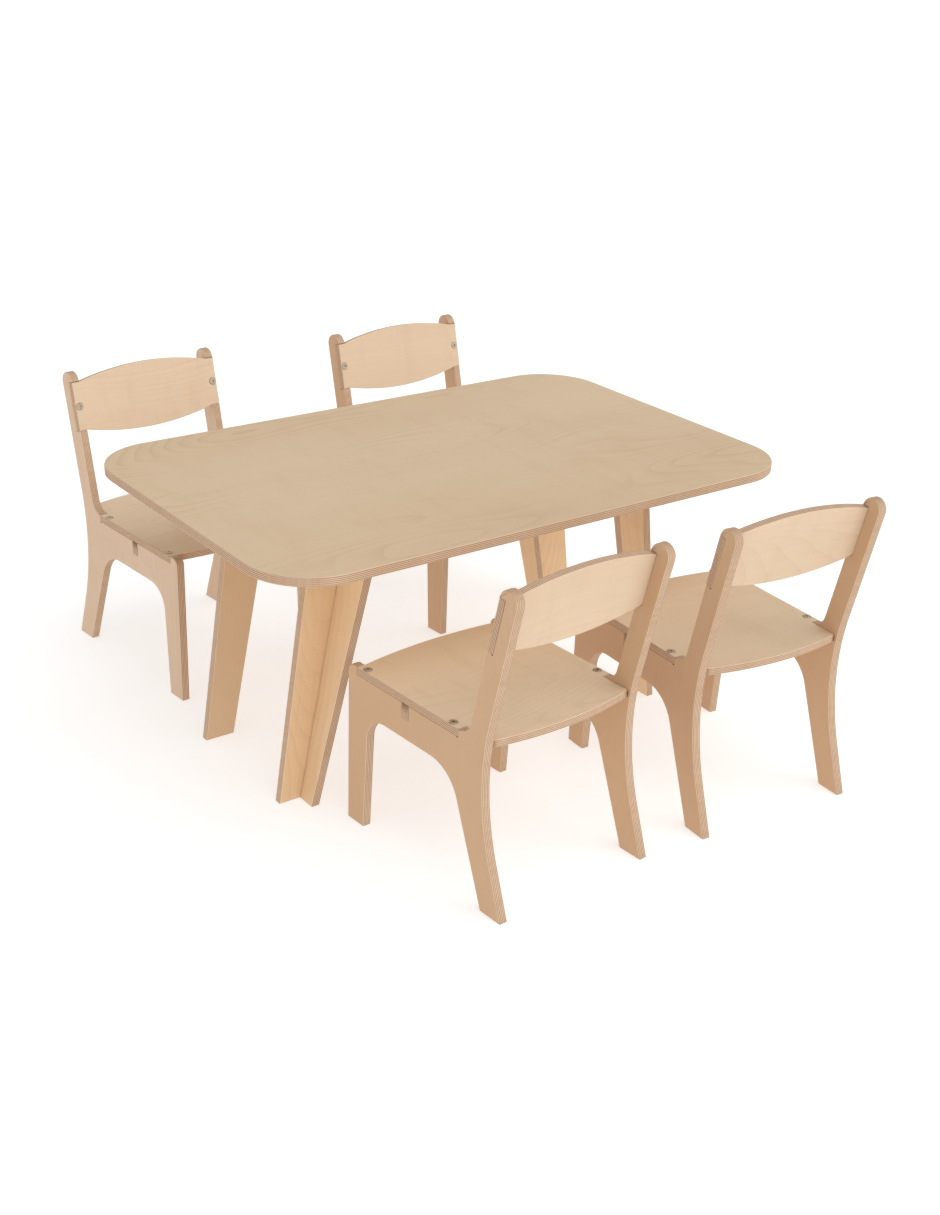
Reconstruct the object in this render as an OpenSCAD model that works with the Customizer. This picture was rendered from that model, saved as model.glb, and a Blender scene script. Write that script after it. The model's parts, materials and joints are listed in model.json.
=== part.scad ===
// Kids play table with four small chairs, in birch plywood.
// Z is up and the floor is at Z = 0. X runs along the table and Y across it.
// Chairs are drawn facing -Y, with their front legs at Y = 0, and are then placed round the table.

/* [Table] */
// Length of the table top
table_l = 980; // [800:10:1200]
// Width of the table top
table_w = 636; // [560:2:800]
// Height of the table
table_h = 460; // [430:5:520]
// Corner radius of the table top
table_corner_r = 106; // [40:2:160]
// Thickness of the table top, the leg boards and the leg plates
board_t = 15; // [12:1:18]

/* [Table legs] */
// Distance from the table's middle to the foot of a leg, along the table
leg_foot_x = 340; // [300:5:360]
// Distance from the table's middle to the wing side of a main board, across the table
leg_set_y = 128; // [110:2:150]
// Outward lean of a leg, in degrees
leg_splay = 11; // [4:0.5:14]
// Width of a main board at its top
main_top_w = 75; // [60:1:90]
// Width of a main board at the floor
main_foot_w = 51; // [40:1:60]
// Width of a wing board at its top
wing_top_w = 69; // [50:1:80]
// Width of a wing board at the floor
wing_foot_w = 34; // [30:1:50]
// How far a leg plate reaches past the leg boards
plate_margin = 19; // [16:1:24]

/* [Chair] */
// Width of a chair over its sides
chair_w = 290; // [260:2:340]
// Thickness of a chair side
side_t = 15; // [15:1:18]
// Height of the seat
seat_h = 265; // [250:1:300]
// Height of the back posts
chair_h = 505; // [490:1:540]
// Thickness of the seat and the backrest
panel_t = 12; // [12:1:15]
// Depth of a front foot
front_foot_d = 39; // [34:1:46]
// Depth of a front leg where it meets the arch
front_knee_d = 49; // [44:1:56]
// Height of the arch between the legs
arch_h = 196; // [180:1:205]
// Radius of the arch at the front leg
arch_front_r = 42; // [20:1:45]
// Radius of the arch at the rear leg
arch_rear_r = 64; // [40:1:70]
// Distance from the front of the chair to the front of a rear foot
rear_foot_u = 317; // [300:1:330]
// Depth of a rear foot
rear_foot_d = 43; // [38:1:50]
// Distance from the front of the chair to the top of the arch at the rear leg
rear_knee_u = 241; // [230:1:250]
// Backward lean of the posts, in degrees
back_lean = 13; // [8:1:15]
// Depth of a back post
post_w = 35; // [32:1:40]
// Distance from the front of the chair to the post's front edge, at seat height
post_u = 278; // [270:1:285]
// Radius of the hollow where a post rises from the seat
post_foot_r = 26; // [15:1:30]
// Backward slope of the rear leg, in degrees
rear_leg_lean = 19; // [15:0.5:20]
// Radius of the bend behind the seat
waist_r = 390; // [200:10:420]

/* [Seat and backrest] */
// Depth of the lip in front of the seat
lip_d = 21; // [18:1:26]
// Radius on the lip's corner
lip_r = 12; // [6:1:14]
// Distance from the front of the chair to the end of the seat's housing
housing_end_u = 257; // [240:1:258]
// Distance from the front of the chair to the seat's rear corners
seat_rear_u = 309; // [300:1:320]
// Bulge of the seat's front edge
seat_front_bulge = 11; // [4:1:16]
// Bulge of the seat's rear edge
seat_rear_bulge = 16; // [6:1:20]
// Height of the backrest at its ends
back_end_h = 86; // [70:1:90]
// Bulge of the backrest's top and bottom edges
back_bulge = 16; // [6:1:24]
// Distance from the front of the chair to the seat rail
rail_u = 130; // [110:1:150]
// Height of the seat rail
rail_h = 46; // [40:1:50]
// Height of the rail's tenons
tenon_h = 24; // [18:1:30]

/* [Fasteners] */
// Distance from a bolt's middle to the chair's outside
bolt_inset = 8; // [7.5:0.1:9]
// Distance from the front of the chair to the front seat bolts
front_bolt_u = 38; // [34:1:50]
// Distance from the front of the chair to the rear seat bolts
rear_bolt_u = 237; // [225:1:245]
// Diameter of a bolt's head
bolt_head_d = 13; // [11:0.5:14]
// Diameter of a bolt's shank
bolt_d = 6; // [5:0.5:6]
// Outside diameter of a threaded insert
insert_d = 9; // [8:0.5:10]
// Length of a threaded insert
insert_l = 12; // [10:1:14]
// Shank diameter of a wood screw
screw_d = 4; // [3.5:0.5:4.5]
// Diameter of a dowel
dowel_d = 8; // [6:1:8]
// Diameter of the relief holes where a cutter turned in an inner corner
relief_d = 4; // [3:0.5:5]

/* [Places] */
// Front left chair: X, Y and turn in degrees
front_left_place = [-176, -205, 3.5]; // [-400:400]
// Front right chair: X, Y and turn in degrees
front_right_place = [267, -219, -4.5]; // [-400:400]
// Back left chair: X, Y and turn in degrees
back_left_place = [-215, 273, 4.5]; // [-400:400]
// Back right chair: X, Y and turn in degrees
back_right_place = [321, 254, 4]; // [-400:400]

/* [Hidden] */
$fn = 48;
birch = "burlywood";
birch_light = "wheat";
steel = "silver";
brass = "goldenrod";

// Clearances
fit_gap = 0.1;
slip_gap = 0.2;

// Table heights
top_under_z = table_h - board_t;
leg_h = top_under_z - board_t;
leg_top_x = leg_foot_x - leg_h * tan(leg_splay);
wing_t = board_t / cos(leg_splay);
plate_corner_r = 10;
plate_screw_inset = 10;

// Wood screws and dowels
plate_screw_l = board_t + 10;
board_screw_l = board_t + 30;
screw_head_d = 2 * screw_d;
dowel_l = 30;
dowel_in_main = 10;
dowel_heights = [60, 215, 370];

// Chair bolts
bolt_head_h = 2.5;
bolt_recess = 1.5;
bolt_hex = 4;
bolt_hex_depth = 1.8;
bolt_shank_l = panel_t - bolt_recess + insert_l - 2;

// Chair posts
half_post = post_w / 2;
post_rise = chair_h - seat_h - half_post + half_post * sin(back_lean);
post_l = half_post + post_rise / cos(back_lean);
back_top_s = post_l - half_post - 1;
back_low_s = back_top_s - back_end_h;
inner_x = chair_w / 2 - side_t;
seat_under_z = seat_h - panel_t;

// Where the post's back line meets the rear leg's back line
post_back_u = post_u + post_w / cos(back_lean);
waist_gap = rear_foot_u + rear_foot_d - post_back_u + seat_h * tan(back_lean);
waist_z = waist_gap / (tan(rear_leg_lean) + tan(back_lean));
waist_u = rear_foot_u + rear_foot_d - waist_z * tan(rear_leg_lean);

// Rearmost point of a chair, at the round top of a post
chair_deep = post_u + (post_l - half_post) * sin(back_lean) + half_post * cos(back_lean) + half_post;

// Outlines: each corner is [x, y, radius], and round corners become short steps
arc_step_angle = 7.5;
arc_step_l = 7;
function unit(v) = v / norm(v);
function flat(v) = [v.x, v.y];
function corner_points(a, b, c, r) =
    let (to_a = unit(a - b))
    let (to_c = unit(c - b))
    let (half = acos(to_a * to_c) / 2)
    let (centre = b + unit(to_a + to_c) * r / sin(half))
    let (start = b + to_a * r / tan(half) - centre)
    let (turn = (180 - 2 * half) * sign(cross(b - a, c - b)))
    let (steps = ceil(max(abs(turn) / arc_step_angle, abs(turn) * r * PI / 180 / arc_step_l)))
    [for (i = [0:steps]) centre + [
        start.x * cos(turn * i / steps) - start.y * sin(turn * i / steps),
        start.x * sin(turn * i / steps) + start.y * cos(turn * i / steps)
    ]];
function rounded(corners) =
    let (n = len(corners))
    [for (i = [0:n - 1]) each corners[i].z == 0
        ? [flat(corners[i])]
        : corner_points(
            flat(corners[(i + n - 1) % n]), flat(corners[i]), flat(corners[(i + 1) % n]), corners[i].z
        )];

// A shallow arc from x = -half to x = half that rises to bulge in the middle
bulge_steps = 24;
function bulge_points(half, bulge) =
    let (r = (half * half + bulge * bulge) / (2 * bulge))
    let (spread = asin(half / r))
    [for (i = [0:bulge_steps])
        let (angle = spread * (2 * i / bulge_steps - 1))
        [r * sin(angle), bulge - r * (1 - cos(angle))]];
function flipped(points) = [for (i = [len(points) - 1:-1:0]) points[i]];

// A point on the post's front edge, s along the edge and deep into the post
function post_point(s, deep = 0) = [
    post_u + s * sin(back_lean) + deep * cos(back_lean),
    seat_h + s * cos(back_lean) - deep * sin(back_lean)
];
function with_r(p, r = 0) = [p.x, p.y, r];
function leg_x(z) = leg_foot_x - z * tan(leg_splay);

// Chairs and their places
CHAIRS = ["front_left_chair", "front_right_chair", "back_left_chair", "back_right_chair"];
CHAIR_PIECES = [
    "left_side", "right_side", "seat", "backrest", "seat_rail",
    "seat_bolts", "backrest_bolts", "seat_inserts", "backrest_inserts"
];
places = [front_left_place, front_right_place, back_left_place, back_right_place];
facing = [180, 180, 0, 0];
function turned(p, angle) = [p.x * cos(angle) - p.y * sin(angle), p.x * sin(angle) + p.y * cos(angle)];
chair_box = [[-chair_w / 2, 0], [chair_w / 2, 0], [-chair_w / 2, chair_deep], [chair_w / 2, chair_deep]];
chair_corners = [
    for (i = [0:3]) for (p = chair_box) turned(p, facing[i] + places[i].z) + flat(places[i])
];
edge_x = concat([-table_l / 2, table_l / 2], [for (p = chair_corners) p.x]);
edge_y = concat([-table_w / 2, table_w / 2], [for (p = chair_corners) p.y]);
layout_centre = [(max(edge_x) + min(edge_x)) / 2, (max(edge_y) + min(edge_y)) / 2, 0];

// Legs and their quarters of the table
LEGS = ["front_left_leg", "front_right_leg", "back_left_leg", "back_right_leg"];
LEG_PIECES = ["main_board", "wing_board", "plate"];
quarters = [[-1, -1], [1, -1], [-1, 1], [1, 1]];

// Fastener shapes, each with its head's face at Z = 0 and its shank along -Z
module wood_screw(length) {
    tip = 2 * screw_d;
    head_h = (screw_head_d - screw_d) / 2;
    rotate_extrude()
        polygon([
            [0, 0], [screw_head_d / 2, 0], [screw_d / 2, -head_h],
            [screw_d / 2, tip - length], [0, -length]
        ]);
}

module screw_hole(length) {
    head_h = (screw_head_d - screw_d) / 2;
    rotate_extrude()
        polygon([
            [0, 1], [screw_head_d / 2 + fit_gap, 1], [screw_head_d / 2 + fit_gap, 0],
            [screw_d / 2 + fit_gap, -head_h], [screw_d / 2 + fit_gap, -length - fit_gap],
            [0, -length - fit_gap]
        ]);
}

module socket_bolt() {
    chamfer = 0.5;
    difference() {
        rotate_extrude()
            polygon([
                [0, bolt_head_h], [bolt_head_d / 2 - chamfer, bolt_head_h],
                [bolt_head_d / 2, bolt_head_h - chamfer], [bolt_head_d / 2, 0],
                [bolt_d / 2, 0], [bolt_d / 2, chamfer - bolt_shank_l],
                [bolt_d / 2 - chamfer, -bolt_shank_l], [0, -bolt_shank_l]
            ]);
        translate([0, 0, bolt_head_h - bolt_hex_depth])
            cylinder(d = bolt_hex / cos(30), h = bolt_hex_depth + 1, $fn = 6);
    }
}

// Recess and through hole for a socket bolt, from the face of a panel at Z = 0
module bolt_hole() {
    translate([0, 0, -bolt_recess])
        cylinder(d = bolt_head_d + 4 * slip_gap, h = bolt_recess + 1);
    translate([0, 0, -panel_t - 1])
        cylinder(d = bolt_d + 2 * slip_gap, h = panel_t + 1);
}

module threaded_insert() {
    difference() {
        cylinder(d = insert_d, h = insert_l);
        translate([0, 0, -1])
            cylinder(d = bolt_d + 2 * fit_gap, h = insert_l + 2);
    }
}

// Blind hole for a threaded insert, from the wood's face at Z = 0 down along -Z
module insert_hole() {
    translate([0, 0, -insert_l - fit_gap])
        cylinder(d = insert_d + 2 * fit_gap, h = insert_l + fit_gap + 1);
}

// Table
module table_top() {
    half = [table_l / 2, table_w / 2];
    color(birch)
        difference() {
            translate([0, 0, top_under_z])
                linear_extrude(board_t)
                    polygon(rounded([
                        [-half.x, -half.y, table_corner_r], [half.x, -half.y, table_corner_r],
                        [half.x, half.y, table_corner_r], [-half.x, half.y, table_corner_r]
                    ]));
            all_legs()
                at_plate_screws()
                    screw_hole(plate_screw_l);
        }
}

module all_legs() {
    for (quarter = quarters)
        one_leg(quarter)
            children();
}

// The quarter where X and Y are positive is mirrored to the others
module one_leg(quarter) {
    mirror([quarter.x < 0 ? 1 : 0, 0, 0])
        mirror([0, quarter.y < 0 ? 1 : 0, 0])
            children();
}

// Corners of a leg plate
plate_low = [leg_top_x - plate_margin, leg_set_y - board_t - plate_margin];
plate_high = [leg_top_x + main_top_w + plate_margin, leg_set_y + wing_top_w + plate_margin];

module at_plate_screws() {
    for (x = [plate_low.x + plate_screw_inset, plate_high.x - plate_screw_inset])
        for (y = [plate_low.y + plate_screw_inset, plate_high.y - plate_screw_inset])
            translate([x, y, leg_h])
                rotate([180, 0, 0])
                    children();
}

module at_board_screws() {
    main_y = leg_set_y - board_t / 2;
    wing_x = leg_x(leg_h - board_t) + wing_t / 2;
    for (p = [
        [leg_top_x + main_top_w / 4, main_y],
        [leg_top_x + main_top_w * 3 / 4, main_y],
        [wing_x, leg_set_y + wing_top_w / 2]
    ])
        translate([p.x, p.y, top_under_z])
            children();
}

module at_dowels() {
    for (z = dowel_heights)
        translate([leg_x(z) + wing_t / 2, leg_set_y - dowel_in_main, z])
            rotate([-90, 0, 0])
                children();
}

module leg_dowel_holes() {
    at_dowels()
        translate([0, 0, -2 * fit_gap])
            cylinder(d = dowel_d + 2 * fit_gap, h = dowel_l + 4 * fit_gap);
}

module leg_main_board() {
    color(birch)
        difference() {
            translate([0, leg_set_y, 0])
                rotate([90, 0, 0])
                    linear_extrude(board_t)
                        polygon([
                            [leg_foot_x, 0], [leg_foot_x + main_foot_w, 0],
                            [leg_top_x + main_top_w, leg_h], [leg_top_x, leg_h]
                        ]);
            leg_dowel_holes();
            at_board_screws()
                screw_hole(board_screw_l);
        }
}

module leg_wing_board() {
    color(birch)
        difference() {
            intersection() {
                translate([0, leg_set_y + wing_top_w, 0])
                    rotate([90, 0, 0])
                        linear_extrude(wing_top_w)
                            polygon([
                                [leg_foot_x, 0], [leg_foot_x + wing_t, 0],
                                [leg_top_x + wing_t, leg_h], [leg_top_x, leg_h]
                            ]);
                rotate([90, 0, 90])
                    linear_extrude(leg_foot_x + 2 * board_t)
                        polygon([
                            [leg_set_y, 0], [leg_set_y + wing_foot_w, 0],
                            [leg_set_y + wing_top_w, leg_h], [leg_set_y, leg_h]
                        ]);
            }
            leg_dowel_holes();
            at_board_screws()
                screw_hole(board_screw_l);
        }
}

module leg_plate() {
    color(birch_light)
        difference() {
            translate([0, 0, leg_h])
                linear_extrude(board_t)
                    polygon(rounded([
                        [plate_low.x, plate_low.y, plate_corner_r], [plate_high.x, plate_low.y, plate_corner_r],
                        [plate_high.x, plate_high.y, plate_corner_r], [plate_low.x, plate_high.y, plate_corner_r]
                    ]));
            at_plate_screws()
                screw_hole(plate_screw_l);
            at_board_screws()
                screw_hole(board_screw_l);
        }
}

module leg_plate_screws() {
    color(steel)
        all_legs()
            at_plate_screws()
                wood_screw(plate_screw_l);
}

module leg_board_screws() {
    color(steel)
        all_legs()
            at_board_screws()
                wood_screw(board_screw_l);
}

module leg_dowels() {
    color(birch_light)
        all_legs()
            at_dowels()
                cylinder(d = dowel_d, h = dowel_l);
}

// Chair
module at_seat_bolts(sides = [-1, 1]) {
    for (side = sides)
        for (u = [front_bolt_u, rear_bolt_u])
            translate([side * (chair_w / 2 - bolt_inset), u, 0])
                children();
}

// Puts children on the post's front edge, s along it, with +Z pointing forward out of the edge
module on_post_front(s) {
    p = post_point(s);
    translate([0, p.x, p.y])
        rotate([90 - back_lean, 0, 0])
            children();
}

module at_backrest_bolts(sides = [-1, 1]) {
    on_post_front((back_low_s + back_top_s) / 2)
        for (side = sides)
            translate([side * (chair_w / 2 - bolt_inset), 0, 0])
                children();
}

function side_corners() = [
    [0, 0, 0],
    [0, seat_h, lip_r],
    [lip_d, seat_h, 0],
    [lip_d, seat_under_z, 0],
    [housing_end_u, seat_under_z, 0],
    [housing_end_u, seat_h, 0],
    [post_u, seat_h, post_foot_r],
    with_r(post_point(back_low_s)),
    with_r(post_point(back_low_s, panel_t)),
    with_r(post_point(back_top_s, panel_t)),
    with_r(post_point(back_top_s)),
    with_r(post_point(post_l), half_post - 0.01),
    with_r(post_point(post_l, post_w), half_post - 0.01),
    [waist_u, waist_z, waist_r],
    [rear_foot_u + rear_foot_d, 0, 0],
    [rear_foot_u, 0, 0],
    [rear_knee_u, arch_h, arch_rear_r],
    [front_knee_d, arch_h, arch_front_r],
    [front_foot_d, 0, 0]
];

// Relief holes at the rear of the seat's housing and at the foot of the backrest's notch
relief_points = [
    [housing_end_u - relief_d / 2, seat_under_z],
    post_point(back_low_s, panel_t - relief_d / 2)
];

// side is -1 for the right side and 1 for the left side
module chair_side(side) {
    color(birch)
        difference() {
            translate([side > 0 ? inner_x : -chair_w / 2, 0, 0])
                rotate([90, 0, 90])
                    linear_extrude(side_t)
                        polygon(rounded(side_corners()));
            translate([side * (inner_x + side_t / 2), rail_u + side_t / 2, seat_under_z + 0.5 - tenon_h / 2])
                cube([side_t + 2, side_t + 2 * slip_gap, tenon_h + 1], center = true);
            for (p = relief_points)
                translate([side * (inner_x + side_t / 2), p.x, p.y])
                    rotate([0, 90, 0])
                        cylinder(d = relief_d, h = side_t + 2, center = true);
            at_seat_bolts([side])
                translate([0, 0, seat_under_z])
                    insert_hole();
            at_backrest_bolts([side])
                translate([0, 0, -panel_t])
                    insert_hole();
        }
}

module seat() {
    tab_x = chair_w / 2;
    body_x = inner_x - slip_gap;
    front = [for (p = bulge_points(inner_x, seat_front_bulge)) [p.x, lip_d + slip_gap - p.y]];
    rear = [for (p = bulge_points(body_x, seat_rear_bulge)) [p.x, seat_rear_u + p.y]];
    color(birch_light)
        difference() {
            translate([0, 0, seat_under_z])
                linear_extrude(panel_t)
                    polygon(concat(
                        [[-tab_x, lip_d + slip_gap]], front, [[tab_x, lip_d + slip_gap]],
                        [[tab_x, housing_end_u - slip_gap], [body_x, housing_end_u - slip_gap]],
                        flipped(rear),
                        [[-body_x, housing_end_u - slip_gap], [-tab_x, housing_end_u - slip_gap]]
                    ));
            at_seat_bolts()
                translate([0, 0, seat_h])
                    bolt_hole();
        }
}

module backrest() {
    half_h = back_end_h / 2 - slip_gap;
    upper = [for (p = bulge_points(inner_x, back_bulge)) [p.x, half_h + p.y]];
    lower = [for (p = bulge_points(inner_x, back_bulge)) [p.x, -half_h - p.y]];
    color(birch_light)
        difference() {
            on_post_front((back_low_s + back_top_s) / 2)
                translate([0, 0, slip_gap - panel_t])
                    linear_extrude(panel_t - slip_gap)
                        polygon(concat(
                            [[-chair_w / 2, half_h]], upper, [[chair_w / 2, half_h]],
                            [[chair_w / 2, -half_h]], flipped(lower), [[-chair_w / 2, -half_h]]
                        ));
            at_backrest_bolts()
                bolt_hole();
        }
}

module seat_rail() {
    color(birch)
        translate([0, rail_u, 0]) {
            translate([-inner_x, 0, seat_under_z - rail_h])
                cube([2 * inner_x, side_t, rail_h]);
            translate([-chair_w / 2, 0, seat_under_z - tenon_h + slip_gap])
                cube([chair_w, side_t, tenon_h - slip_gap]);
        }
}

module seat_bolts() {
    color(steel)
        at_seat_bolts()
            translate([0, 0, seat_h - bolt_recess])
                socket_bolt();
}

module backrest_bolts() {
    color(steel)
        at_backrest_bolts()
            translate([0, 0, -bolt_recess])
                socket_bolt();
}

module seat_inserts() {
    color(brass)
        at_seat_bolts()
            translate([0, 0, seat_under_z - insert_l])
                threaded_insert();
}

module backrest_inserts() {
    color(brass)
        at_backrest_bolts()
            translate([0, 0, -panel_t - insert_l])
                threaded_insert();
}

module place_chair(i) {
    translate([places[i].x, places[i].y, 0])
        rotate([0, 0, facing[i] + places[i].z])
            children();
}

module chair_piece(piece) {
    if (piece == "left_side") chair_side(1);
    if (piece == "right_side") chair_side(-1);
    if (piece == "seat") seat();
    if (piece == "backrest") backrest();
    if (piece == "seat_rail") seat_rail();
    if (piece == "seat_bolts") seat_bolts();
    if (piece == "backrest_bolts") backrest_bolts();
    if (piece == "seat_inserts") seat_inserts();
    if (piece == "backrest_inserts") backrest_inserts();
}

module leg_piece(piece) {
    if (piece == "main_board") leg_main_board();
    if (piece == "wing_board") leg_wing_board();
    if (piece == "plate") leg_plate();
}

// The origin is on the floor, under the middle of the whole set
translate(-layout_centre) {
    table_top();
    leg_plate_screws();
    leg_board_screws();
    leg_dowels();
    for (i = [0:3])
        for (piece = LEG_PIECES)
            one_leg(quarters[i])
                    leg_piece(piece);
    for (i = [0:3])
        for (piece = CHAIR_PIECES)
            place_chair(i)
                    chair_piece(piece);
}
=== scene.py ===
import json
import math

import bpy
import numpy as np
from mathutils import Matrix, Vector


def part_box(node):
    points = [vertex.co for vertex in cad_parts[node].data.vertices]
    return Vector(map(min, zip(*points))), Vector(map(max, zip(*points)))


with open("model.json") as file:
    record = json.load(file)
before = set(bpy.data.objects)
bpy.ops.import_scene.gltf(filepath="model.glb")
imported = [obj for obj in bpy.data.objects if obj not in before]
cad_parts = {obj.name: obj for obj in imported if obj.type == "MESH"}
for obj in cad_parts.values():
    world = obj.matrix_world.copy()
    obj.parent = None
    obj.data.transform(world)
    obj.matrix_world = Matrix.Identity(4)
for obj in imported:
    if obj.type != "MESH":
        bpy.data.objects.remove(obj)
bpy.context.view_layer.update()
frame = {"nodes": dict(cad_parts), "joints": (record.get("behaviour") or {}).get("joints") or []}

# A kids play table with four small chairs, in birch plywood. Lengths are in metres.

UP = Vector((0, 0, 1))
TABLE_LONG_WAY = Vector((1, 0, 0))
ACROSS_TABLE = Vector((0, 1, 0))

# Plies
TOP_PLIES = 11
LEG_PLIES = 11
SIDE_PLIES = 11
PANEL_PLIES = 9
GLUE_LINE = 0.00024
# Width of the painted shadow line drawn along a butt joint
JOINT_SHADOW_WIDTH = 0.0013
PLY_SPAN = 0.998  # the plies reach this far through, so that rounding adds no extra ply

# The veneer's figure: how many of each mark lie in a metre, along and across the grain
TONE_MARKS = (1.6, 4.0)
RING_MARKS = (1.4, 5.5)
PATCH_MARKS = (2.5, 5.0)
RIPPLE_MARKS = (26.0, 7.0)
STREAK_MARKS = (7.0, 420.0)
FIBRE_MARKS = (130.0, 2600.0)
PORE_MARKS = (420.0, 3400.0)
GRIT_MARKS = (900.0, 900.0, 2600.0)
RING_COUNT = 34.0

# How strong the contour lines are on each kind of board, as a multiple
TOP_FIGURE = 1.9
SEAT_FIGURE = 0.8
BACK_FIGURE = 0.7

# How strongly each mark colours the wood, from 0 to 1
RING_SHARE = 0.2
RIPPLE_SHARE = 0.14
STREAK_SHARE = 0.14
FIBRE_SHARE = 0.1
PORE_SHARE = 0.4
PLY_STREAK_SHARE = 0.35
FLANK_SHARE = 0.85
GLUE_SHARE = 0.8
# How dark the painted shadow line along a butt joint is
JOINT_SHADOW_SHARE = 0.85

# Marks in a metre along X, Y and Z
CLOUD_MARKS = (260.0, 260.0, 260.0)
SCUFF_MARKS = (2400.0, 2400.0, 700.0)
BEECH_MARKS = (900.0, 60.0, 900.0)
RAY_MARKS = (1800.0, 420.0, 1800.0)
MOTTLE_MARKS = (3.0, 3.0, 3.0)

# Metal and dowels
ZINC_ROUGHNESS = 0.34
BRASS_ROUGHNESS = 0.3
SCUFF_ROUGHNESS = 0.16
SCUFF_DEPTH = 0.00003
SCUFF_STRENGTH = 0.3
BEECH_ROUGHNESS = 0.5
BEECH_DEPTH = 0.00005
BEECH_STRENGTH = 0.4

# Lacquer
WOOD_ROUGHNESS = 0.53
STREAK_ROUGHNESS = 0.1
EDGE_ROUGHNESS = 0.16
LACQUER_SHINE = 0.35
GRAIN_DEPTH = 0.00006
GRAIN_STRENGTH = 0.45

# Edges
EDGE_RADIUS = 0.0018
PANEL_EDGE_RADIUS = 0.0012
TURNED_EDGE_RADIUS = 0.0002
EDGE_SEGMENTS = 4
TURNED_EDGE_SEGMENTS = 2
BORED_EDGE = 0.0011
CREASE_ANGLE = math.radians(30)
FLAT_ANGLE = math.radians(0.3)
SAME_POINT = 0.00001
ON_FACE = 0.99

# Each board's figure starts from its own random place
SEED = 7
SEED_RANGE = 900


# Shader maths

class Value:
    """A socket of a finish. Arithmetic on it adds Math nodes to that finish."""

    def __init__(self, finish, socket):
        self.finish = finish
        self.socket = socket

    def maths(self, operation, *operands):
        return self.finish.node("ShaderNodeMath", {"operation": operation}, operands)

    def __add__(self, other):
        return self.maths("ADD", self, other)

    def __radd__(self, other):
        return self.maths("ADD", other, self)

    def __sub__(self, other):
        return self.maths("SUBTRACT", self, other)

    def __rsub__(self, other):
        return self.maths("SUBTRACT", other, self)

    def __mul__(self, other):
        return self.maths("MULTIPLY", self, other)

    def __rmul__(self, other):
        return self.maths("MULTIPLY", other, self)

    def __pow__(self, other):
        return self.maths("POWER", self, other)

    def __abs__(self):
        return self.maths("ABSOLUTE", self)

    def __floor__(self):
        return self.maths("FLOOR", self)

    def __mod__(self, other):
        return self.maths("MODULO", self, other)

    def fade(self, low, high):
        """0 up to low, 1 from high on, and a soft step between them."""
        return self.finish.node(
            "ShaderNodeMapRange",
            {"interpolation_type": "SMOOTHSTEP"},
            {"Value": self, "From Min": low, "From Max": high},
        )


class Finish:
    """A material made of nodes."""

    def __init__(self, name):
        self.material = bpy.data.materials.new(name)
        self.material.use_nodes = True
        self.tree = self.material.node_tree
        self.tree.nodes.clear()

    def node(self, kind, settings=None, inputs=(), output=0):
        """Adds a node, and gives one of its outputs."""
        made = self.tree.nodes.new(kind)
        for name, value in (settings or {}).items():
            setattr(made, name, value)
        named = inputs.items() if isinstance(inputs, dict) else enumerate(inputs)
        for name, value in named:
            if isinstance(value, Value):
                self.tree.links.new(value.socket, made.inputs[name])
            else:
                made.inputs[name].default_value = value
        return Value(self, made.outputs[output])

    def vector(self, operation, *operands, output=0):
        return self.node("ShaderNodeVectorMath", {"operation": operation}, operands, output)

    def dot(self, a, b):
        return self.vector("DOT_PRODUCT", a, b, output=1)

    def stack(self, x, y, z):
        return self.node("ShaderNodeCombineXYZ", None, (x, y, z))

    def noise(self, point, detail=2.0, roughness=0.5):
        return self.node(
            "ShaderNodeTexNoise",
            None,
            {"Vector": point, "Scale": 1.0, "Detail": detail, "Roughness": roughness},
        )

    def mix(self, share, first, second):
        """The first colour where share is 0, and the second where it is 1."""
        return self.node(
            "ShaderNodeMix", {"data_type": "RGBA"}, {0: share, 6: first, 7: second}, output=2
        )

    def bump(self, height, depth, strength):
        return self.node(
            "ShaderNodeBump", None, {"Height": height, "Distance": depth, "Strength": strength}
        )

    def surface(self, **sockets):
        """Ends the finish in one shader. Socket names have _ for a space."""
        inputs = {name.replace("_", " "): value for name, value in sockets.items()}
        shader = self.node("ShaderNodeBsdfPrincipled", None, inputs)
        end = self.tree.nodes.new("ShaderNodeOutputMaterial")
        self.tree.links.new(shader.socket, end.inputs["Surface"])
        return self.material


def colour(red, green, blue):
    """A colour as a paint chart gives it, from 0 to 255, made linear for the shader."""
    def linear(share):
        return share / 12.92 if share <= 0.04045 else ((share + 0.055) / 1.055) ** 2.4
    return (linear(red / 255), linear(green / 255), linear(blue / 255), 1.0)


# Boards

class Board:
    """A flat CAD piece: its grain, its width, its thickness and its middle."""

    def __init__(self, piece, grain):
        mesh = piece.data
        largest = max(mesh.polygons, key=lambda polygon: polygon.area)
        self.through = largest.normal.copy()
        self.grain = (grain - grain.dot(self.through) * self.through).normalized()
        self.across = self.through.cross(self.grain)
        points = np.array([vertex.co for vertex in mesh.vertices])
        depths = points @ np.array(self.through)
        self.thickness = float(depths.max() - depths.min())
        centre = Vector((points.min(0) + points.max(0)) / 2)
        middle_depth = float(depths.max() + depths.min()) / 2
        self.middle = centre + (middle_depth - centre.dot(self.through)) * self.through


def long_way(piece):
    """The direction in which a piece is longest."""
    points = np.array([vertex.co for vertex in piece.data.vertices])
    spread = np.cov((points - points.mean(0)).T)
    return Vector(np.linalg.eigh(spread)[1][:, -1])


# Shades of the wood, the metal and the studio

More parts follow.
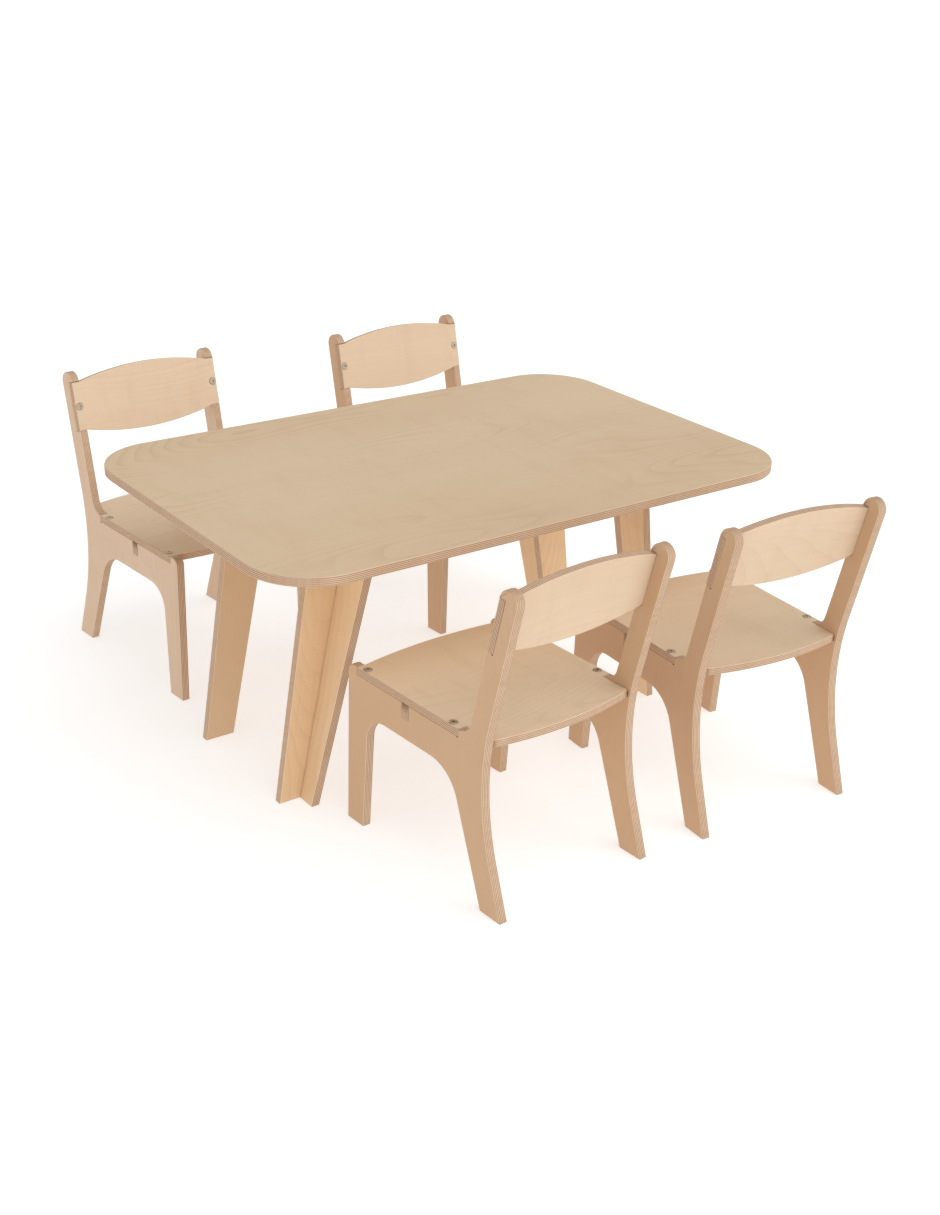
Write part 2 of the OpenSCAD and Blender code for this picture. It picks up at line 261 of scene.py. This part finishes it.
TOP_BIRCH = (colour(220, 194, 162), colour(213, 185, 151))
SEAT_BIRCH = (colour(231, 208, 178), colour(223, 198, 166))
BACK_BIRCH = (colour(226, 201, 173), colour(218, 191, 161))
SIDE_BIRCH = (colour(208, 172, 137), colour(201, 163, 127))
PALE_SIDE_BIRCH = (colour(219, 191, 164), colour(212, 182, 154))
LEG_BIRCH = (colour(235, 201, 161), colour(227, 191, 150))
# A darker copy of the leg veneer: painted shade for the back left leg, which stands in the table's
# shade
SHADED_LEG_BIRCH = (colour(216, 184, 148), colour(208, 174, 137))
BIRCH_FIGURE = colour(190, 154, 114)
BIRCH_FLECK = colour(172, 134, 94)
PLY_LONG = colour(229, 201, 172)
PLY_END = colour(172, 130, 98)
PLY_END_DARK = colour(142, 101, 72)
GLUE = colour(104, 64, 40)
# The painted shadow line along the butt joint of two leg boards
JOINT_SHADOW = colour(84, 52, 32)
BEECH = (colour(214, 176, 138), colour(196, 152, 112))
BEECH_RAY = colour(150, 106, 72)
ZINC = colour(200, 186, 166)
ZINC_SCUFF = colour(140, 126, 108)
BRASS = colour(206, 168, 96)
BRASS_SCUFF = colour(150, 112, 58)
WHITE = (1.0, 1.0, 1.0, 1.0)
FLOOR_PAINT = ((0.6, 0.6, 0.6, 1.0), (0.62, 0.62, 0.62, 1.0))


def birch_plywood(name, board, tones, plies, seed, figure=1.0, seam=None):
    """Rotary-cut birch plywood with a satin lacquer, solid through the board's thickness.

    tones holds the veneer's two shades. The last argument is a plane, as a point and a normal, where
    the board butts against another one; a dark line of painted shadow is drawn along it.
    """
    finish = Finish(name)
    point = finish.node("ShaderNodeTexCoord", output="Object")
    facing = finish.node("ShaderNodeTexCoord", output="Normal")
    offset = finish.vector("SUBTRACT", point, board.middle)
    along = finish.dot(offset, board.grain)
    across = finish.dot(offset, board.across)
    depth = finish.dot(offset, board.through)
    on_end = abs(finish.dot(facing, board.grain))
    on_flank = abs(finish.dot(facing, board.across))
    on_face = abs(finish.dot(facing, board.through))
    on_edge = 1 - on_face.fade(0.55, 0.98)

    def veneer(marks, shift, detail, roughness=0.5):
        """Noise in the plane of the veneer, from its marks along and across the grain."""
        sheet = finish.stack(along * marks[0], across * marks[1], seed + shift)
        return finish.noise(sheet, detail, roughness)

    # The face veneer: contour lines, a silky ripple, fine streaks and short dark pores
    tone = veneer(TONE_MARKS, 0.0, 3.0)
    growth = veneer(RING_MARKS, 3.0, 1.0, 0.35)
    patch = veneer(PATCH_MARKS, 5.0, 1.0)
    ripple = veneer(RIPPLE_MARKS, 9.0, 2.0, 0.6)
    rings = (growth * RING_COUNT % 1) ** 3.0
    streaks = veneer(STREAK_MARKS, 7.0, 4.0, 0.65)
    fibres = veneer(FIBRE_MARKS, 11.0, 2.0)
    pores = veneer(PORE_MARKS, 13.0, 1.0).fade(0.64, 0.72)
    ring_share = rings * patch.fade(0.38, 0.62) * (RING_SHARE * figure)
    face = finish.mix(tone.fade(0.15, 0.85), *tones)
    face = finish.mix(ring_share, face, BIRCH_FIGURE)
    face = finish.mix(ripple.fade(0.45, 0.8) * RIPPLE_SHARE, face, BIRCH_FIGURE)
    face = finish.mix(streaks.fade(0.35, 0.8) * STREAK_SHARE, face, BIRCH_FIGURE)
    face = finish.mix(fibres.fade(0.5, 0.75) * FIBRE_SHARE, face, BIRCH_FLECK)
    face = finish.mix(pores * PORE_SHARE, face, BIRCH_FLECK)

    # The edge: each ply turns its grain, and end grain is darker than long grain
    layer = (depth * (PLY_SPAN / board.thickness) + 0.5) * plies
    crossed = math.floor(layer) % 2
    end_grain = on_end * (1 - crossed) + on_flank * crossed * FLANK_SHARE
    block = finish.stack(along * GRIT_MARKS[0], across * GRIT_MARKS[1], depth * GRIT_MARKS[2])
    grit = finish.noise(block, 2.0, 0.7)
    ply_end = finish.mix(grit.fade(0.35, 0.7), PLY_END, PLY_END_DARK)
    ply_long = finish.mix(streaks.fade(0.3, 0.8) * PLY_STREAK_SHARE, PLY_LONG, BIRCH_FIGURE)
    ply = finish.mix(end_grain ** 2.0, ply_long, ply_end)
    near_glue = abs(layer % 1 - 0.5)
    glue_width = GLUE_LINE * plies / board.thickness
    ply = finish.mix(near_glue.fade(0.5 - glue_width, 0.5) * GLUE_SHARE, ply, GLUE)
    wood = finish.mix(on_edge, face, ply)
    # Painted shadow: a dark line drawn along the plane where this board butts against another
    if seam:
        plane_point, normal = seam
        joint_distance = abs(finish.dot(finish.vector("SUBTRACT", point, plane_point), normal))
        wood = finish.mix((1 - joint_distance.fade(0.0, JOINT_SHADOW_WIDTH)) * JOINT_SHADOW_SHARE, wood, JOINT_SHADOW)

    height = streaks * 0.4 + fibres * 0.5 - pores - on_edge * grit
    return finish.surface(
        Base_Color=wood,
        Roughness=WOOD_ROUGHNESS + STREAK_ROUGHNESS * streaks + EDGE_ROUGHNESS * on_edge,
        Specular_IOR_Level=LACQUER_SHINE,
        Normal=finish.bump(height, GRAIN_DEPTH, GRAIN_STRENGTH),
    )


def turned_metal(name, base, roughness, scuff):
    """Plated metal from a lathe, with fine scuffs."""
    finish = Finish(name)
    point = finish.node("ShaderNodeTexCoord", output="Object")
    cloudy = finish.noise(finish.vector("MULTIPLY", point, CLOUD_MARKS), 3.0, 0.6)
    scuffs = finish.noise(finish.vector("MULTIPLY", point, SCUFF_MARKS), 2.0, 0.7)
    return finish.surface(
        Base_Color=finish.mix(cloudy.fade(0.35, 0.75) * 0.6, base, scuff),
        Metallic=1.0,
        Roughness=roughness + SCUFF_ROUGHNESS * scuffs,
        Normal=finish.bump(scuffs, SCUFF_DEPTH, SCUFF_STRENGTH),
    )


def beech_dowel():
    """Steamed beech, with its short dark rays."""
    finish = Finish("beech_dowel")
    point = finish.node("ShaderNodeTexCoord", output="Object")
    grain = finish.noise(finish.vector("MULTIPLY", point, BEECH_MARKS), 3.0)
    rays = finish.noise(finish.vector("MULTIPLY", point, RAY_MARKS), 1.0)
    body = finish.mix(grain.fade(0.3, 0.7), *BEECH)
    return finish.surface(
        Base_Color=finish.mix(rays.fade(0.6, 0.75) * 0.5, body, BEECH_RAY),
        Roughness=BEECH_ROUGHNESS + STREAK_ROUGHNESS * grain,
        Normal=finish.bump(grain, BEECH_DEPTH, BEECH_STRENGTH),
    )


def pale_floor():
    """A matt white studio floor."""
    finish = Finish("studio_floor")
    point = finish.node("ShaderNodeTexCoord", output="Object")
    mottle = finish.noise(finish.vector("MULTIPLY", point, MOTTLE_MARKS), 2.0)
    return finish.surface(
        Base_Color=finish.mix(mottle, *FLOOR_PAINT),
        Roughness=0.9,
        Emission_Color=WHITE,
        Emission_Strength=FLOOR_GLOW,
    )


# Dressing the CAD pieces

def corner(point):
    """A point's key, so that the corners of neighbouring faces find each other."""
    return tuple(round(value / SAME_POINT) for value in point)


def mark_edges(piece, board):
    """Marks the arrises round a board's two faces to be eased, and other hard edges as crisp."""
    mesh = piece.data
    beside = {}
    for polygon in mesh.polygons:
        for ends in polygon.edge_keys:
            key = frozenset(corner(mesh.vertices[end].co) for end in ends)
            beside.setdefault(key, []).append(polygon.normal)
    eased = mesh.attributes.new("bevel_weight_edge", "FLOAT", "EDGE")
    crisp = mesh.attributes.get("sharp_edge") or mesh.attributes.new("sharp_edge", "BOOLEAN", "EDGE")
    for edge in mesh.edges:
        start, end = (mesh.vertices[index].co for index in edge.vertices)
        normals = beside[frozenset((corner(start), corner(end)))]
        crease = max(first.angle(second, 0.0) for first in normals for second in normals)
        hard = crease > CREASE_ANGLE
        on_face = any(abs(normal.dot(board.through)) > ON_FACE for normal in normals)
        arris = hard and on_face and (end - start).length > BORED_EDGE
        eased.data[edge.index].value = 1.0 if arris else 0.0
        crisp.data[edge.index].value = hard and not arris
    mesh.shade_smooth()


def ease_board(piece, board, radius):
    """Eases a board's arrises with a small round, as sanding does."""
    mark_edges(piece, board)
    weld = piece.modifiers.new("weld", "WELD")
    weld.merge_threshold = SAME_POINT
    flatten = piece.modifiers.new("flatten", "DECIMATE")
    flatten.decimate_type = "DISSOLVE"
    flatten.angle_limit = FLAT_ANGLE
    flatten.delimit = {"SHARP"}
    ease = piece.modifiers.new("ease", "BEVEL")
    ease.limit_method = "WEIGHT"
    ease.width = radius
    ease.segments = EDGE_SEGMENTS
    ease.use_clamp_overlap = False
    shade = piece.modifiers.new("shade", "WEIGHTED_NORMAL")
    shade.keep_sharp = True


def ease_turned(piece):
    """Eases the edges of turned pieces."""
    piece.data.shade_smooth()
    weld = piece.modifiers.new("weld", "WELD")
    weld.merge_threshold = SAME_POINT
    ease = piece.modifiers.new("ease", "BEVEL")
    ease.limit_method = "ANGLE"
    ease.angle_limit = CREASE_ANGLE
    ease.width = TURNED_EDGE_RADIUS
    ease.segments = TURNED_EDGE_SEGMENTS
    shade = piece.modifiers.new("shade", "WEIGHTED_NORMAL")
    shade.keep_sharp = False


def dress(piece, material):
    piece.data.materials.clear()
    piece.data.materials.append(material)


nodes = frame["nodes"]
seeds = iter(np.random.default_rng(SEED).uniform(0, SEED_RANGE, len(nodes)).tolist())


def dress_board(name, grain, tones, plies, radius, **look):
    piece = nodes[name]
    board = Board(piece, grain)
    dress(piece, birch_plywood(f"birch_{name}", board, tones, plies, next(seeds), **look))
    ease_board(piece, board, radius)


def dress_turned(name, material):
    dress(nodes[name], material)
    ease_turned(nodes[name])


# The table
dress_board("table_top", TABLE_LONG_WAY, TOP_BIRCH, TOP_PLIES, EDGE_RADIUS, figure=TOP_FIGURE)
for leg in ("front_left_leg", "front_right_leg", "back_left_leg", "back_right_leg"):
    # The back left leg gets the darker leg veneer: painted shade, because it stands in the table's
    # shade
    tones = SHADED_LEG_BIRCH if leg == "back_left_leg" else LEG_BIRCH
    # The two boards lie side by side across the table: the higher of their low sides is where
    # they meet
    low_corners = [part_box(f"{leg}_{part}")[0] for part in ("main_board", "wing_board")]
    butt = max(low_corners, key=lambda point: point.y)
    # The wing board gets a painted shadow line along the plane where it meets the main board
    for part, seam in (("main_board", None), ("wing_board", (butt, ACROSS_TABLE))):
        name = f"{leg}_{part}"
        grain = long_way(nodes[name])
        dress_board(name, grain, tones, LEG_PLIES, EDGE_RADIUS, seam=seam)
    dress_board(f"{leg}_plate", TABLE_LONG_WAY, LEG_BIRCH, LEG_PLIES, EDGE_RADIUS)

# The chairs
steel = turned_metal("zinc_plated_steel", ZINC, ZINC_ROUGHNESS, ZINC_SCUFF)
brass = turned_metal("brass_insert", BRASS, BRASS_ROUGHNESS, BRASS_SCUFF)
for joint in frame["joints"]:
    chair = joint["child"]
    rearward = Vector(joint["axis"])
    sideways = rearward.cross(UP)
    tones = PALE_SIDE_BIRCH if chair == "back_left_chair" else SIDE_BIRCH
    for side in ("left_side", "right_side"):
        dress_board(f"{chair}_{side}", UP, tones, SIDE_PLIES, EDGE_RADIUS)
    panel = (PANEL_PLIES, PANEL_EDGE_RADIUS)
    dress_board(f"{chair}_seat", sideways, SEAT_BIRCH, *panel, figure=SEAT_FIGURE)
    dress_board(f"{chair}_backrest", sideways, BACK_BIRCH, *panel, figure=BACK_FIGURE)
    dress_board(f"{chair}_seat_rail", sideways, SIDE_BIRCH, SIDE_PLIES, PANEL_EDGE_RADIUS)
    for board in ("seat", "backrest"):
        dress_turned(f"{chair}_{board}_bolts", steel)
        dress_turned(f"{chair}_{board}_inserts", brass)

dress_turned("leg_plate_screws", steel)
dress_turned("leg_board_screws", steel)
dress_turned("leg_dowels", beech_dowel())

# Studio
FLOOR_HALF = 60.0
WALL_HEIGHT = 25.0
FLOOR_GLOW = 0.55
SKY = 0.52
SOFTNESS = math.radians(70)
LAMP_DISTANCE = 4.0
KEY_LIGHT_TOWARDS = (-0.25, 0.55, -0.75)
KEY_LIGHT_STRENGTH = 1.35

low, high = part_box("table_top")
table_middle = Vector(((low.x + high.x) / 2, (low.y + high.y) / 2, 0.0))

# A pale floor with a wall of the same pale finish far away on every side
floor_mesh = bpy.data.meshes.new("studio_floor")
studio_corners = [
    (x * FLOOR_HALF, y * FLOOR_HALF, z)
    for z in (0.0, WALL_HEIGHT)
    for x, y in ((-1, -1), (1, -1), (1, 1), (-1, 1))
]
wall_foot = (0, 1, 2, 3)
wall_top = (4, 5, 6, 7)
walls = [(wall_foot[k - 1], wall_top[k - 1], wall_top[k], wall_foot[k]) for k in wall_foot]
floor_mesh.from_pydata(studio_corners, [], [wall_foot] + walls)
floor = bpy.data.objects.new("studio_floor", floor_mesh)
bpy.context.scene.collection.objects.link(floor)
floor.data.materials.append(pale_floor())

world = bpy.data.worlds.new("studio")
world.use_nodes = True
world.node_tree.nodes["Background"].inputs["Color"].default_value = (SKY, SKY, SKY, 1.0)
bpy.context.scene.world = world
bpy.context.scene.view_settings.view_transform = "Standard"


def soft_light(name, towards, strength):
    """A broad, even studio light that falls from one direction."""
    light = bpy.data.lights.new(name, "SUN")
    light.energy = strength
    light.angle = SOFTNESS
    lamp = bpy.data.objects.new(name, light)
    lamp.location = table_middle - LAMP_DISTANCE * Vector(towards)
    lamp.rotation_euler = Vector(towards).to_track_quat("-Z", "Y").to_euler()
    bpy.context.scene.collection.objects.link(lamp)


soft_light("key_light", KEY_LIGHT_TOWARDS, KEY_LIGHT_STRENGTH)

# Camera
VIEW_FROM = Vector((-1.5024, -2.0803, 1.3582))
VIEW_YAW = math.radians(36.929)
VIEW_DOWN = math.radians(24.385)
VIEW_ROLL = math.radians(2.071)
VIEW_LENS = 49.27
VIEW_SENSOR = 36.0

camera_data = bpy.data.cameras.new("view")
camera_data.sensor_width = VIEW_SENSOR
camera_data.lens = VIEW_LENS
camera = bpy.data.objects.new("view", camera_data)
bpy.context.scene.collection.objects.link(camera)
look = Vector((
    math.sin(VIEW_YAW) * math.cos(VIEW_DOWN),
    math.cos(VIEW_YAW) * math.cos(VIEW_DOWN),
    -math.sin(VIEW_DOWN),
))
level_right = Vector((math.cos(VIEW_YAW), -math.sin(VIEW_YAW), 0.0))
level_up = level_right.cross(look)
right = math.cos(VIEW_ROLL) * level_right + math.sin(VIEW_ROLL) * level_up
above = math.cos(VIEW_ROLL) * level_up - math.sin(VIEW_ROLL) * level_right
camera.matrix_world = Matrix.Translation(table_middle + VIEW_FROM) @ Matrix(
    (right, above, -look)
).transposed().to_4x4()
bpy.context.scene.camera = camera
